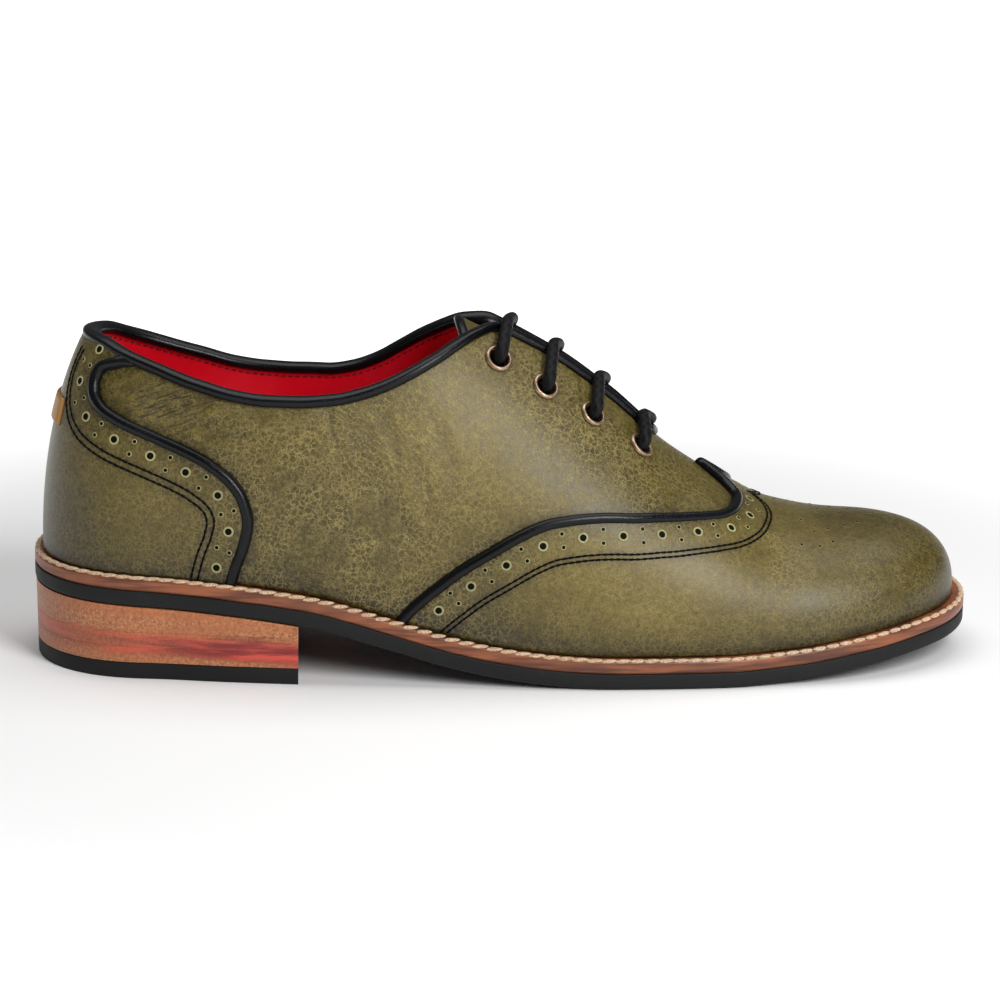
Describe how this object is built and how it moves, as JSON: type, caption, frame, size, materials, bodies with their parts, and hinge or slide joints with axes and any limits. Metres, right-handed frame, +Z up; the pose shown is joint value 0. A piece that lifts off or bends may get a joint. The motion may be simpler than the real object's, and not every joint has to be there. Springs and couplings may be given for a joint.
{
  "type": "wing-tip brogue shoe",
  "caption": "Low lace-up leather shoe with a winged toe cap, piped seams, bound topline, welted sole, stacked heel and straight laces over an open throat.",
  "frame": {"origin": "on the floor, under the middle of the shoe's bounding box", "axes": "+X towards the toe, +Z up, -Y towards the outer side of the foot"},
  "size_m": [0.275, 0.0958, 0.101],
  "materials": {
    "upper_leather": "olive full-grain calf, burnished at the edges, satin to glossy",
    "piping_leather": "black glossy folded leather",
    "tab_leather": "plain tan leather, satin",
    "welt_leather": "reddish brown waxed edge with pale thread",
    "stack_leather": "layered tan edge with red streaks, waxed",
    "sole_rubber": "black, fine matt",
    "insole_leather": "smooth red lining leather",
    "eyelet_metal": "antique copper",
    "lace_cord": "black woven round cord"
  },
  "bodies": {
    "root": {"outsole": "sole_rubber", "top_piece": "sole_rubber", "welt": "welt_leather", "insole": "insole_leather", "heel_lift_bottom": "stack_leather", "heel_lift_middle": "stack_leather", "heel_lift_top": "stack_leather", "upper": "upper_leather", "wing_cap": "upper_leather", "heel_counter": "upper_leather", "tongue": "upper_leather", "wing_piping": "piping_leather", "counter_piping_outer": "piping_leather", "counter_piping_inner": "piping_leather", "topline_binding": "piping_leather", "heel_tab": "tab_leather", "eyelet_outer_1": "eyelet_metal", "eyelet_outer_2": "eyelet_metal", "eyelet_outer_3": "eyelet_metal", "eyelet_outer_4": "eyelet_metal", "eyelet_inner_1": "eyelet_metal", "eyelet_inner_2": "eyelet_metal", "eyelet_inner_3": "eyelet_metal", "eyelet_inner_4": "eyelet_metal", "lace_bar_1": "lace_cord", "lace_bar_2": "lace_cord", "lace_bar_3": "lace_cord", "lace_bar_4": "lace_cord"}
  },
  "joints": []
}
